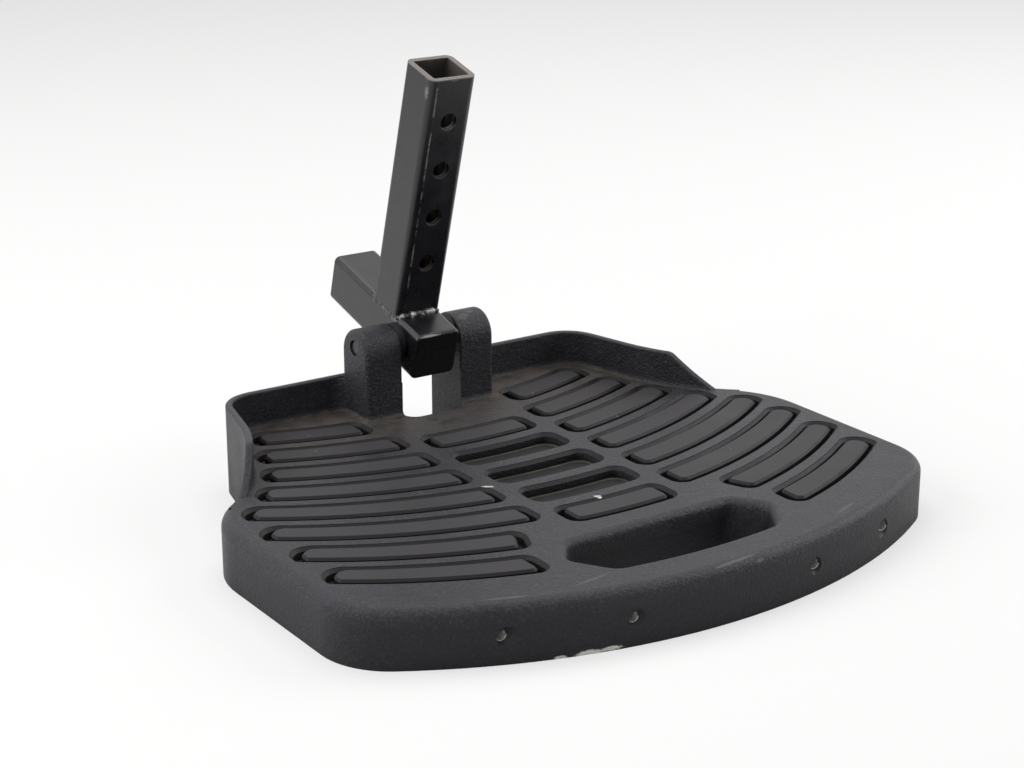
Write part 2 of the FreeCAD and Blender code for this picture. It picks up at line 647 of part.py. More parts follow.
# ---- assembly ----
def all_pieces():
    toe, notch_y = toe_outline()
    heel = heel_outline(notch_y)
    plan = plan_outline(toe, heel)
    rows = side_rows(plan)
    pieces = {"footplate": footplate(toe, heel, notch_y, plan, rows), "hinge_pin": hinge_pin()}
    for number, bar in enumerate(rows, start=1):
        right = tread_bar(bar)
        pieces[f"tread_bar_right_{number}"] = right
        pieces[f"tread_bar_left_{number}"] = mirrored(right)
    for name, index in CENTRE_BARS.items():
        pieces[name] = tread_bar(centre_row(index))
    arm = {
        "stub_tube": stub_tube(),
        "stub_front_plug": stub_front_plug(),
        "stub_rear_plug": stub_rear_plug(),
        "post_tube": post_tube(),
        "post_weld": post_weld(),
        "pivot_sleeve": pivot_sleeve(),
        "bush_right": bush(),
        "bush_left": mirrored(bush()),
        "stop_bar": stop_bar(),
        "stop_bar_weld": stop_bar_weld(),
    }
    for name, shape in arm.items():
        pieces[name] = leaned(shape)
    return pieces


def main():
    os.makedirs("parts", exist_ok=True)
    pieces = all_pieces()
    bounds = Part.makeCompound(list(pieces.values())).optimalBoundingBox(False)
    shift = -(bounds.YMin + bounds.YMax) / 2
    for name, shape in pieces.items():
        placed = shape.copy()
        placed.translate(Vector(0, shift, 0))
        placed.exportStep(f"parts/{name}.step")
        print(f"{name}: solids {len(placed.Solids)}, valid {placed.isValid()}, volume {placed.Volume:.1f}")
    print(f"pin axis at Y {shift:.3f} Z {PIN_Z:.3f}")
    print(f"stop seat at Z {stop_seat_z():.3f}")
    print(f"size {bounds.XLength:.2f} {bounds.YLength:.2f} {bounds.ZLength:.2f}, lowest {bounds.ZMin:.3f}")


main()
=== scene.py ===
"""Dresses the foot platform: finishes on the solids, the weld bead, the screw threads and a plain studio."""

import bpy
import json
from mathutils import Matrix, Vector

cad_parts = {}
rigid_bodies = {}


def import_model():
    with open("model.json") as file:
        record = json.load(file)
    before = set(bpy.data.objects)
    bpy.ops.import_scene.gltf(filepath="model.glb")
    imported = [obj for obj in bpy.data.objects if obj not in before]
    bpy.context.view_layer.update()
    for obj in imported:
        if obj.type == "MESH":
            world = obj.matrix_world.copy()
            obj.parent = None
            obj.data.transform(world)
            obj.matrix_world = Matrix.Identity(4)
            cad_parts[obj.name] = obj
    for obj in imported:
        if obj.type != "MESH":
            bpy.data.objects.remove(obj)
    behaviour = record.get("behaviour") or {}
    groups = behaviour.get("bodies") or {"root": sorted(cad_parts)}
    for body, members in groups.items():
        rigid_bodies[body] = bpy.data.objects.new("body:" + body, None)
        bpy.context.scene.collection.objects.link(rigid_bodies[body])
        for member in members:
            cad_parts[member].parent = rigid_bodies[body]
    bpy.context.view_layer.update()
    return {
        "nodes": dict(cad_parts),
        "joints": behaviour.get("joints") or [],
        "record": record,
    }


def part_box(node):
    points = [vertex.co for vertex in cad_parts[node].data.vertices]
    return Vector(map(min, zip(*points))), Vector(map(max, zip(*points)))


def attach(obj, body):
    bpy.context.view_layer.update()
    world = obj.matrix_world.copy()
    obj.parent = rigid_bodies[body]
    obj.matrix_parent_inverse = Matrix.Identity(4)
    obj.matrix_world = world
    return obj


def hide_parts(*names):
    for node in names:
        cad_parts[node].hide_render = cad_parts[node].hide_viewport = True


bl_info = {
    "name": "Foot platform",
    "version": (1, 0, 0),
    "blender": (4, 5, 0),
    "location": "3D View > Sidebar > Foot platform",
    "description": "Finishes, weld bead, screw threads and studio for a flip-up foot platform",
    "category": "Object",
}

import json
import math
import random

import bmesh
import bpy
from mathutils import Matrix, Vector, noise

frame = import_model()

NODES = frame["nodes"]
MOUNTS = {mount["name"]: mount for mount in frame["record"]["mounts"]}
HINGE = Vector(frame["joints"][0]["pos_m"])
PLATE_LOW, PLATE_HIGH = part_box("footplate")
BARS = [name for name in NODES if name.startswith("tread_bar_")]


def mm(*sizes):
    """Millimetres as metres."""
    return sizes[0] / 1000 if len(sizes) == 1 else tuple(size / 1000 for size in sizes)


# The arm's own frame: x across, v back along the stub, w up the post.
_ACROSS = Vector(MOUNTS["post_hole_1"]["axis"])
LEAN = math.atan2(-_ACROSS.z, -_ACROSS.y)
ARM = Matrix.Translation(HINGE) @ Matrix.Rotation(LEAN, 4, "X")
HOLES = [ARM.inverted() @ Vector(MOUNTS[f"post_hole_{i}"]["pos_m"]) for i in range(1, 5)]
HOLE_R = mm(MOUNTS["post_hole_1"]["dims"]["r_mm"])
HOLE_PITCH = HOLES[0].z - HOLES[1].z
TUBE_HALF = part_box("post_tube")[1].x
TUBE_CORNER = mm(3.6)
POST_V = HOLES[0].y
POST_FRONT, POST_REAR = POST_V - TUBE_HALF, POST_V + TUBE_HALF
POST_TOP = (ARM.inverted() @ Vector(MOUNTS["post_outside"]["pos_m"])).z
POST_FOOT = (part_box("post_tube")[0].z - HINGE.z - POST_FRONT * math.sin(LEAN)) / math.cos(LEAN)

# The toe edge's screw holes.
RIM_HOLE_PAIRS = ("toe_edge_holes_inner", "toe_edge_holes_outer")
RIM_HOLES = [
    (sign * mm(MOUNTS[name]["dims"]["spacing_x_mm"]) / 2, MOUNTS[name]["pos_m"][1], MOUNTS[name]["pos_m"][2])
    for name in RIM_HOLE_PAIRS
    for sign in (-1, 1)
]
RIM_HOLE_R = mm(MOUNTS["toe_edge_holes_inner"]["dims"]["hole_r_mm"])

# Every row of tread bars follows one arc. Of the five centre pockets, the first and last hold a bar.
_REAR, _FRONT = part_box("tread_bar_centre_rear"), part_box("tread_bar_centre_front")
ROW_ARC_R = 0.255
_BOW = _REAR[1].x ** 2 / (2 * ROW_ARC_R)
BAR_TOP = _REAR[1].z
BAR_CHAMFER = mm(1.2)
POCKET_FLOOR = _REAR[0].z
POCKET_CHAMFER = mm(1.7)
PLATE_TOP = BAR_TOP - mm(0.3)
GROOVE = mm(2)
END_GROOVE = mm(3.6)
POCKET_HALF = (_REAR[1].x + END_GROOVE, (_REAR[1].y - _REAR[0].y - _BOW) / 2 + GROOVE)
CENTRE_PITCH = (_REAR[1].y - _FRONT[1].y) / 4
CENTRE_MID = (_REAR[0].y + _REAR[1].y + _FRONT[0].y + _FRONT[1].y) / 4 - _BOW / 2
SIDE_BARS = [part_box(f"tread_bar_right_{i}") for i in range(1, 9)]
# A side bar reaches furthest forward this far out from its inner end, where its corner's rounding stops.
BAR_CORNER = mm(3)

# Where dirt gathers on the casting: from where to where it thickens, back over the heel, and to the left.
HEEL_FILM_Y = (0.005, 0.104)
COVE_DUST_Y = (0.035, 0.075)
LEFT_DIRT_X = (-0.078, -0.088)

# Worn patches: middle (metres), half sizes (mm), turn (degrees), strength.
CASTING_SCUFFS = [
    ((-0.1004, -0.1360, 0.027), (9.0, 0.8, 1.5), -20, 0.22),
    ((0.0016, -0.1579, 0.027), (14.0, 0.7, 1.5), 4, 0.28),
    ((-0.0205, -0.1620, 0.027), (6.0, 0.6, 1.5), 12, 0.22),
    ((0.0803, -0.1398, 0.027), (8.0, 0.9, 1.5), 20, 0.18),
    ((0.0130, -0.1605, 0.0250), (3.0, 1.0, 1.2), 10, 0.3),
    ((0.0235, 0.0865, 0.0700), (3.5, 2.2, 1.6), 15, 0.22),
    ((0.0290, 0.0890, 0.0712), (2.0, 1.0, 1.2), -10, 0.3),
    ((-0.0600, -0.1405, 0.0270), (9.0, 0.8, 1.0), 8, 0.2),
]
CASTING_CHIPS = [
    ((-0.0176, 0.0925, 0.0706), (0.7, 1.6, 0.8), 0, 0.7),
    ((-0.0694, -0.1524, 0.0006), (6.0, 3.0, 1.4), -15, 1.0),
    ((-0.0600, -0.1546, 0.0012), (4.5, 3.0, 0.9), -12, 1.0),
    ((-0.0818, -0.1487, 0.0004), (2.5, 3.0, 0.9), -15, 0.9),
    ((-0.0374, -0.0281, 0.0270), (2.6, 0.9, 1.0), -34, 1.0),
    ((-0.0025, -0.0665, 0.0270), (2.2, 1.1, 1.0), -40, 1.0),
    ((0.0645, -0.1465, 0.0255), (0.9, 0.7, 1.2), 10, 0.7),
]
# The weld's are in the arm's frame: four along its front, one at its rear corner, one along its left side.
WELD_FLAKES = [
    ((mm(-10.8), POST_FRONT - mm(1), POST_FOOT), (1.3, 2.2, 2.4), 0, 0.6),
    ((mm(-4.6), POST_FRONT - mm(1), POST_FOOT + mm(0.6)), (1.7, 2.6, 2.2), 0, 0.75),
    ((mm(1.2), POST_FRONT - mm(1), POST_FOOT + mm(0.4)), (1.0, 2.2, 1.2), 0, 0.6),
    ((mm(6.2), POST_FRONT - mm(1), POST_FOOT + mm(1.2)), (2.4, 2.8, 2.4), 0, 0.75),
    ((-TUBE_HALF, POST_REAR + mm(0.5), POST_FOOT - mm(0.6)), (1.5, 1.8, 1.6), 0, 0.6),
    ((-TUBE_HALF, POST_V - mm(1), POST_FOOT - mm(2.4)), (1.2, 9.0, 0.35), 0, 0.6),
]
# The front plug is rubbed along its upper lip, and a little on its face; the pale band along the lip is also
# a painted highlight.
PLUG_WEAR_AND_HIGHLIGHT = [
    (ARM @ Vector((*mm(-5.5, -17.9), POST_FOOT - mm(0.6))), (6.5, 1.2, 0.7), 0, 0.9),
    (ARM @ Vector(mm(-6.5, -20, 5.5)), (1.8, 1.0, 0.6), 0, 0.3),
]
# Lines of rubbed paint and of painted highlight along edges, in the arm's frame: x, then v or w, half width
# (mm), start, end, and the axis that the line runs along.
POST_WEAR_AND_HIGHLIGHT = [
    # The post's front left corner line is a painted highlight on the rounded corner, with chips of rubbed
    # paint in it.
    (-TUBE_HALF + TUBE_CORNER, POST_FRONT, 0.28, POST_FOOT, POST_TOP, "w"),
    (-TUBE_HALF, POST_FRONT + TUBE_CORNER, 0.15, POST_TOP - mm(9), POST_TOP, "w"),
]
STUB_WEAR = [
    (TUBE_HALF - mm(0.9), POST_FOOT, 0.35, mm(-18), POST_FRONT, "v"),
    (-TUBE_HALF + mm(0.4), POST_FOOT - mm(2.6), 0.3, POST_FRONT - mm(2), POST_FRONT + mm(24), "v"),
]

WELD_STEP = mm(0.45)
WELD_TAPER = 0.35
WELD_SEED = 11
THREAD_STEPS = 24

WHITE = (1.0, 1.0, 1.0, 1.0)
FLOOR_R = 4.0
FLOOR_FADE = (1.9, 3.7)
# Soft boxes: place, width, height, and the setting that holds the radiance.
LAMPS = {
    "studio_side": ((-1.5, 0.35, 0.9), 1.5, 1.3, "side_light"),
    "studio_top": ((0.1, 0.35, 1.7), 1.6, 1.6, "top_light"),
    "studio_fill": ((1.5, -0.25, 0.9), 1.2, 1.0, "fill_light"),
}


def linear(hex_colour):
    """The linear RGB of an sRGB colour such as #2b2b2d."""
    parts = [int(hex_colour[i : i + 2], 16) / 255 for i in (1, 3, 5)]
    return tuple(c / 12.92 if c <= 0.04045 else ((c + 0.055) / 1.055) ** 2.4 for c in parts)


def rgba(colour, shade=1.0):
    """A linear colour, made darker or paler, with full alpha, as shader sockets take it."""
    return (*(c * shade for c in colour[:3]), 1.0)


def add_node(tree, kind, inputs=None, **settings):
    """Adds one node: settings are its properties, inputs are values, or nodes and sockets to link from."""
    made = tree.nodes.new(kind)
    for key, value in settings.items():
        setattr(made, key, value)
    for key, value in (inputs or {}).items():
        if isinstance(value, bpy.types.Node):
            value = next(socket for socket in value.outputs if socket.enabled)
        if isinstance(value, bpy.types.NodeSocket):
            tree.links.new(value, made.inputs[key])
        else:
            made.inputs[key].default_value = value
    return made


def new_material(name, **constants):
    """A material of that name with an empty tree but for its output and its shader, and its coordinates."""
    material = bpy.data.materials.get(name) or bpy.data.materials.new(name)
    material.use_nodes = True
    tree = material.node_tree
    tree.nodes.clear()
    values = {key.replace("_", " "): value for key, value in constants.items()}
    shader = add_node(tree, "ShaderNodeBsdfPrincipled", values)
    add_node(tree, "ShaderNodeOutputMaterial", {"Surface": shader})
    place = add_node(tree, "ShaderNodeTexCoord").outputs["Object"]
    return material, tree, shader, place


def feed(tree, shader, **sources):
    """Links what varies over the surface to the shader's sockets."""
    for key, source in sources.items():
        socket = next(socket for socket in source.outputs if socket.enabled)
        tree.links.new(socket, shader.inputs[key.replace("_", " ")])


def inside(tree, value, low, high, soft):
    """A mask that is 1 where value lies from low to high, and falls to 0 over soft on either side."""
    rise = add_node(tree, "ShaderNodeMapRange", {"Value": value, "From Min": low - soft, "From Max": low})
    fall = add_node(tree, "ShaderNodeMapRange", {"Value": value, "From Min": high + soft, "From Max": high})
    return overlap(tree, rise, fall)


def overlap(tree, *masks):
    """The product of masks, so it is 1 only where all of them are. A number among them weakens it."""
    common = masks[0]
    for mask in masks[1:]:
        common = add_node(tree, "ShaderNodeMath", {0: common, 1: mask}, operation="MULTIPLY")
    return common


def lay(tree, *masks):
    """The strongest of several masks."""
    top = masks[0]
    for mask in masks[1:]:
        top = add_node(tree, "ShaderNodeMath", {0: top, 1: mask}, operation="MAXIMUM")
    return top


def spared(tree, mask, share):
    """1 away from a mask, and less by that share on it."""
    return add_node(tree, "ShaderNodeMath", {0: mask, 1: -share, 2: 1.0}, operation="MULTIPLY_ADD")


def worn_patches(tree, place, ragged, spots):
    """A mask of worn patches, ragged at their edges."""
    masks = []
    for centre, half, turn, strength in spots:
        local = add_node(
            tree,
            "ShaderNodeMapping",
            {
                "Vector": place,
                "Location": centre,
                "Rotation": (0.0, 0.0, math.radians(turn)),
                "Scale": mm(*half),
            },
            vector_type="TEXTURE",
        )
        far = add_node(tree, "ShaderNodeVectorMath", {0: local}, operation="LENGTH")
        edge = add_node(tree, "ShaderNodeMath", {0: far, 1: ragged}, operation="ADD")
        fade = {"Value": edge, "From Min": 1.7, "From Max": 1.3, "To Max": strength}
        masks.append(add_node(tree, "ShaderNodeMapRange", fade))
    return lay(tree, *masks)


def tint(tree, below, colour, mask):
    """Lays a colour over the colour below it, as far as the mask says."""
    return add_node(tree, "ShaderNodeMix", {0: mask, 6: below, 7: rgba(colour)}, data_type="RGBA")


def mottled(tree, field, colour, low, high):
    """A colour that drifts between two of its shades as a noise does."""
    share = add_node(tree, "ShaderNodeMapRange", {"Value": field, "From Min": 0.35, "From Max": 0.65})
    shades = {0: share, 6: rgba(colour, low), 7: rgba(colour, high)}
    return add_node(tree, "ShaderNodeMix", shades, data_type="RGBA")


def in_arm_frame(tree, place):
    """Coordinates in the arm's own frame."""
    return add_node(
        tree,
        "ShaderNodeMapping",
        {"Vector": place, "Location": HINGE, "Rotation": (LEAN, 0.0, 0.0)},
        vector_type="TEXTURE",
    )


def dress(names, material):
    """Gives CAD nodes their finish."""
    for name in names:
        for slot in NODES[name].material_slots:
            slot.material = material


def tread_rows(tree, x, y):
    """How far back a point lies, measured from the arc of the tread rows, and how far from the middle."""
    square = add_node(tree, "ShaderNodeMath", {0: x, 1: x}, operation="MULTIPLY")
    rest = add_node(tree, "ShaderNodeMath", {0: ROW_ARC_R**2, 1: square}, operation="SUBTRACT")
    arc = add_node(tree, "ShaderNodeMath", {0: rest}, operation="SQRT")
    along = add_node(tree, "ShaderNodeMath", {0: y, 1: arc}, operation="ADD")
    along = add_node(tree, "ShaderNodeMath", {0: along, 1: ROW_ARC_R}, operation="SUBTRACT")
    return along, add_node(tree, "ShaderNodeMath", {0: x}, operation="ABSOLUTE")


def foot_of_centre_walls(tree, along, across):
    """A mask of the line where the walls of the centre pockets meet their floors."""
    row = add_node(tree, "ShaderNodeMath", {0: along, 1: CENTRE_MID}, operation="SUBTRACT")
    half = CENTRE_PITCH / 2
    row = add_node(tree, "ShaderNodeMath", {0: row, 1: half, 2: -half}, operation="WRAP")
    straight = POCKET_HALF[0] - POCKET_HALF[1]
    past_end = add_node(tree, "ShaderNodeMath", {0: across, 1: straight}, operation="SUBTRACT")
    past_end = add_node(tree, "ShaderNodeMath", {0: past_end, 1: 0.0}, operation="MAXIMUM")
    offset = add_node(tree, "ShaderNodeCombineXYZ", {"X": past_end, "Y": row})
    from_middle = add_node(tree, "ShaderNodeVectorMath", {0: offset}, operation="LENGTH").outputs["Value"]
    return inside(tree, from_middle, POCKET_HALF[1] - mm(1.5), POCKET_HALF[1] - mm(0.6), mm(0.5))


def in_any_pocket(tree, along, across):
    """A mask of the pockets seen from above, with their rims."""
    rows = inside(tree, along, CENTRE_MID - 2.5 * CENTRE_PITCH, CENTRE_MID + 2.5 * CENTRE_PITCH, mm(1))
    half_width = POCKET_HALF[0] + POCKET_CHAMFER
    wide = add_node(tree, "ShaderNodeMath", {0: across, 1: half_width}, operation="LESS_THAN")
    pockets = [overlap(tree, rows, wide)]
    edge = END_GROOVE + POCKET_CHAMFER
    reach = POCKET_HALF[1] + POCKET_CHAMFER
    for low, high in SIDE_BARS:
        drop = ROW_ARC_R - math.sqrt(ROW_ARC_R**2 - (low.x + BAR_CORNER) ** 2)
        middle = low.y - drop + POCKET_HALF[1] - GROOVE
        row = inside(tree, along, middle - reach, middle + reach, mm(0.3))
        width = inside(tree, across, low.x - edge, high.x + edge, mm(0.3))
        pockets.append(overlap(tree, row, width))
    return lay(tree, *pockets)


def settled_dust_and_pocket_shade(tree, place, up, film, looks):
    """Masks of the dust on the casting, and of the painted shade on the floors, walls and rims of its
    pockets.
    """
    x, y, z = add_node(tree, "ShaderNodeSeparateXYZ", {0: place}).outputs
    along, across = tread_rows(tree, x, y)
    flat = add_node(tree, "ShaderNodeMapRange", {"Value": up, "From Min": 0.8, "From Max": 0.97})
    grit = add_node(tree, "ShaderNodeTexNoise", {"Vector": place, "Scale": 1 / mm(5), "Detail": 5.0})
    clumps = add_node(
        tree, "ShaderNodeMapRange", {"Value": grit, "From Min": 0.4, "From Max": 0.64, "To Min": 0.12}
    )
    # A film on the floor, thin over the heel and thicker towards the rear wall.
    cloud = add_node(
        tree, "ShaderNodeMapRange", {"Value": film, "From Min": 0.3, "From Max": 0.7, "To Min": 0.3}
    )
    heel = add_node(
        tree,
        "ShaderNodeMapRange",
        {"Value": y, "From Min": HEEL_FILM_Y[0], "From Max": HEEL_FILM_Y[1]},
        interpolation_type="SMOOTHSTEP",
    )
    level = inside(tree, z, PLATE_TOP - mm(0.3), PLATE_TOP + mm(0.3), mm(0.3))
    floor = overlap(tree, heel, level, flat, cloud)
    # Thickest in the rounded foot of the heel wall and of the ears.
    rounded = inside(tree, z, PLATE_TOP + mm(0.15), PLATE_TOP + mm(1.1), mm(0.5))
    heelward = add_node(
        tree, "ShaderNodeMapRange", {"Value": y, "From Min": COVE_DUST_Y[0], "From Max": COVE_DUST_Y[1]}
    )
    upward = add_node(tree, "ShaderNodeMapRange", {"Value": up, "From Min": 0.05, "From Max": 0.3})
    cove = overlap(tree, rounded, heelward, upward, clumps)
    # Dirt on the pockets' floors, most of all in their left ends.
    deep = overlap(tree, inside(tree, z, POCKET_FLOOR - mm(0.5), POCKET_FLOOR + mm(0.6), mm(0.6)), flat)
    leftward = add_node(
        tree,
        "ShaderNodeMapRange",
        {"Value": x, "From Min": LEFT_DIRT_X[0], "From Max": LEFT_DIRT_X[1], "To Min": 0.05},
    )
    dirt = overlap(tree, deep, clumps, leftward)
    # A patchy line of dust along the foot of the empty pockets' walls.
    empty_rows = inside(tree, along, CENTRE_MID - 1.5 * CENTRE_PITCH, CENTRE_MID + 1.5 * CENTRE_PITCH, mm(1))
    empty = overlap(tree, empty_rows, inside(tree, x, -POCKET_HALF[0], POCKET_HALF[0], mm(0.5)))
    patchy = add_node(tree, "ShaderNodeMath", {0: clumps, 1: 0.55, 2: 0.45}, operation="MULTIPLY_ADD")
    line = overlap(tree, foot_of_centre_walls(tree, along, across), deep, patchy, empty)
    dust = lay(
        tree,
        overlap(tree, floor, looks.dust_amount),
        overlap(tree, cove, 0.8),
        overlap(tree, dirt, 0.35),
        overlap(tree, line, 0.9),
    )
    # Painted shade on the walls and rims of all pockets, less on the upright walls of the empty ones.
    sunk = inside(tree, z, POCKET_FLOOR - mm(0.5), PLATE_TOP - mm(0.2), mm(0.15))
    upright = inside(tree, z, POCKET_FLOOR + mm(0.5), PLATE_TOP - POCKET_CHAMFER, mm(0.15))
    lighter = spared(tree, overlap(tree, empty, upright), 0.5)
    sides = overlap(tree, sunk, in_any_pocket(tree, along, across), 0.85, lighter)
    return dust, lay(tree, deep, sides)


def bare_screw_hole(tree, place, name):
    """A mask of the bare metal in one pair of the toe edge's screw holes."""
    x, y, z = add_node(tree, "ShaderNodeSeparateXYZ", {0: place}).outputs
    across = add_node(tree, "ShaderNodeMath", {0: x}, operation="ABSOLUTE")
    apart = mm(MOUNTS[name]["dims"]["spacing_x_mm"]) / 2
    beside = add_node(tree, "ShaderNodeMath", {0: across, 1: apart}, operation="SUBTRACT")
    above = add_node(tree, "ShaderNodeMath", {0: z, 1: MOUNTS[name]["pos_m"][2]}, operation="SUBTRACT")
    offset = add_node(tree, "ShaderNodeCombineXYZ", {"X": beside, "Z": above})
    from_axis = add_node(tree, "ShaderNodeVectorMath", {0: offset}, operation="LENGTH").outputs["Value"]
    bore = add_node(
        tree,
        "ShaderNodeMapRange",
        {"Value": from_axis, "From Min": RIM_HOLE_R + mm(0.35), "From Max": RIM_HOLE_R + mm(0.05)},
    )
    mouth = MOUNTS[name]["pos_m"][1]
    return overlap(tree, bore, inside(tree, y, mouth + mm(0.5), mouth + mm(15), mm(0.3)))


def powder_coated_casting(looks):
    """Die-cast aluminium under a black textured powder coat: a leathery grain, dull, dusty in its corners."""
    material, tree, shader, place = new_material(
        "powder_coated_die_cast_aluminium", Specular_IOR_Level=0.25, IOR=1.5
    )
    height = add_node(tree, "ShaderNodeSeparateXYZ", {0: place}).outputs["Z"]
    normal = add_node(tree, "ShaderNodeTexCoord").outputs["Normal"]
    up = add_node(tree, "ShaderNodeSeparateXYZ", {0: normal}).outputs["Z"]
    # Leathery orange peel as the powder flows out, about 1.2 mm, with a finer tooth in it.
    peel = add_node(
        tree,
        "ShaderNodeTexNoise",
        {
            "Vector": place,
            "Scale": 1 / mm(looks.peel_size),
            "Detail": 2.0,
            "Roughness": 0.55,
            "Distortion": 0.8,
        },
    )
    tooth = add_node(tree, "ShaderNodeTexNoise", {"Vector": place, "Scale": 1 / mm(0.5), "Detail": 1.0})
    # Uneven film, over about 15 mm.
    film = add_node(
        tree, "ShaderNodeTexNoise", {"Vector": place, "Scale": 1 / mm(15), "Detail": 4.0, "Roughness": 0.6}
    )
    ragged = add_node(tree, "ShaderNodeTexNoise", {"Vector": place, "Scale": 1 / mm(1.6), "Detail": 4.0})
    colour = mottled(tree, film, looks.coat, 0.8, 1.2)
    # The crowns of the grain are rubbed a little paler than its hollows.
    crowns = add_node(
        tree, "ShaderNodeMapRange", {"Value": peel, "From Min": 0.5, "From Max": 0.7, "To Max": 0.2}
    )
    colour = tint(tree, colour, linear("#6d6a68"), crowns)
    # Painted shade: the skirt is tinted darker from 3 mm below the top edge down.
    skirt = add_node(
        tree,
        "ShaderNodeMapRange",
        {"Value": height, "From Min": PLATE_TOP - mm(3), "From Max": PLATE_TOP - mm(10)},
    )
    colour = tint(tree, colour, linear("#111116"), overlap(tree, skirt, 0.6))
    dust, painted_pocket_shade = settled_dust_and_pocket_shade(tree, place, up, film, looks)
    # Painted shade: the pockets' floors, walls and rims are tinted near black.
    painted_pocket_shade = overlap(tree, painted_pocket_shade, 0.92)
    colour = tint(tree, colour, linear("#070605"), painted_pocket_shade)
    colour = tint(tree, colour, looks.dust, dust)
    colour = tint(tree, colour, linear("#8f8b86"), worn_patches(tree, place, ragged, CASTING_SCUFFS))
    # The screw holes are cut after coating, so the metal is bare inside them.
    cut = [bare_screw_hole(tree, place, name) for name in RIM_HOLE_PAIRS]
    bare = lay(tree, worn_patches(tree, place, ragged, CASTING_CHIPS), *cut)
    colour = tint(tree, colour, looks.bare_metal, bare)
    rough = add_node(
        tree,
        "ShaderNodeMapRange",
        {"Value": film, "From Min": 0.3, "From Max": 0.7, "To Min": 0.37, "To Max": 0.47},
    )
    rough = add_node(tree, "ShaderNodeMath", {0: painted_pocket_shade, 1: 0.2, 2: rough}, operation="MULTIPLY_ADD")
    rough = add_node(
        tree, "ShaderNodeMath", {0: dust, 1: 0.5, 2: rough}, operation="MULTIPLY_ADD", use_clamp=True
    )
    # The grain stands highest on the ears and the heel wall. Feet have polished it where it faces up, it is
    # flatter on the skirt, and the powder lies thin and smooth in the pockets.
    relief = add_node(tree, "ShaderNodeMath", {0: tooth, 1: 0.2, 2: peel}, operation="MULTIPLY_ADD")
    polish = add_node(
        tree,
        "ShaderNodeMapRange",
        {"Value": up, "From Min": 0.4, "From Max": 0.95, "To Min": 1.0, "To Max": 0.35},
    )
    relief = overlap(tree, relief, polish, spared(tree, skirt, 0.5), spared(tree, painted_pocket_shade, 0.8))
    bump = add_node(
        tree, "ShaderNodeBump", {"Strength": looks.peel_strength, "Distance": mm(1.2), "Height": relief}
    )
    feed(tree, shader, Base_Color=colour, Roughness=rough, Metallic=overlap(tree, bare, 0.8), Normal=bump)
    return material


def moulded_tread_rubber(looks):
    """Compression-moulded rubber: matte slate grey on top, with painted shade down its chamfer and its sides.
    """
    material, tree, shader, place = new_material("moulded_tread_rubber", Specular_IOR_Level=0.18, IOR=1.5)
    height = add_node(tree, "ShaderNodeSeparateXYZ", {0: place}).outputs["Z"]
    bloom = add_node(tree, "ShaderNodeTexNoise", {"Vector": place, "Scale": 1 / mm(22), "Detail": 5.0})
    skin = add_node(tree, "ShaderNodeTexNoise", {"Vector": place, "Scale": 1 / mm(0.7), "Detail": 2.0})
    colour = mottled(tree, bloom, looks.rubber, 1.0, 1.18)
    # Painted shade: the chamfer is tinted darker than the top, and the sides below it darker still.
    for shade, start, end, strength in (
        ("#141316", mm(0.05), mm(0.3), 0.85),
        ("#0c0b0b", BAR_CHAMFER, mm(2.3), 0.9),
    ):
        below = {"Value": height, "From Min": BAR_TOP - start, "From Max": BAR_TOP - end, "To Max": strength}
        colour = tint(tree, colour, linear(shade), add_node(tree, "ShaderNodeMapRange", below))
    # Specks of pale dirt pressed into the skin, about 1 mm across and far apart.
    cells = add_node(tree, "ShaderNodeTexVoronoi", {"Vector": place, "Scale": 1 / mm(17)})
    speck = {"Value": cells.outputs["Distance"], "From Min": 0.035, "From Max": 0.02, "To Max": 0.7}
    colour = tint(tree, colour, linear("#9a958c"), add_node(tree, "ShaderNodeMapRange", speck))
    rough = add_node(
        tree,
        "ShaderNodeMapRange",
        {"Value": bloom, "From Min": 0.3, "From Max": 0.7, "To Min": 0.5, "To Max": 0.62},
    )
    bump = add_node(tree, "ShaderNodeBump", {"Strength": 0.12, "Distance": mm(0.1), "Height": skin})
    feed(tree, shader, Base_Color=colour, Roughness=rough, Normal=bump)
    return material


def rubbed_and_highlit_lines(tree, local, x, v, w, lines):
    """Masks of thin broken lines at a tube's edges: rubbed paint, and on the post's front left corner a
    painted highlight.
    """
    breaks = add_node(
        tree, "ShaderNodeTexNoise", {"Vector": local, "Scale": 1 / mm(5), "Detail": 6.0, "Roughness": 0.7}
    )
    broken = add_node(tree, "ShaderNodeMapRange", {"Value": breaks, "From Min": 0.45, "From Max": 0.6})
    masks = []
    for line_x, other, half, low, high, axis in lines:
        across, run = (v, w) if axis == "w" else (w, v)
        near_x = inside(tree, x, line_x - mm(half), line_x + mm(half), mm(half))
        near = inside(tree, across, other - mm(1.2), other + mm(1.2), mm(0.4))
        masks.append(overlap(tree, near_x, near, inside(tree, run, low, high, mm(2)), broken))
    return masks


def inside_of_post(tree, x, v):
    """A mask of the post's inner faces."""
    across = add_node(tree, "ShaderNodeMath", {0: x}, operation="ABSOLUTE")
    back = add_node(tree, "ShaderNodeMath", {0: v, 1: POST_V}, operation="SUBTRACT")
    back = add_node(tree, "ShaderNodeMath", {0: back}, operation="ABSOLUTE")
    return add_node(
        tree,
        "ShaderNodeMapRange",
        {"Value": lay(tree, across, back), "From Min": TUBE_HALF - mm(1.5), "From Max": TUBE_HALF - mm(2.4)},
    )


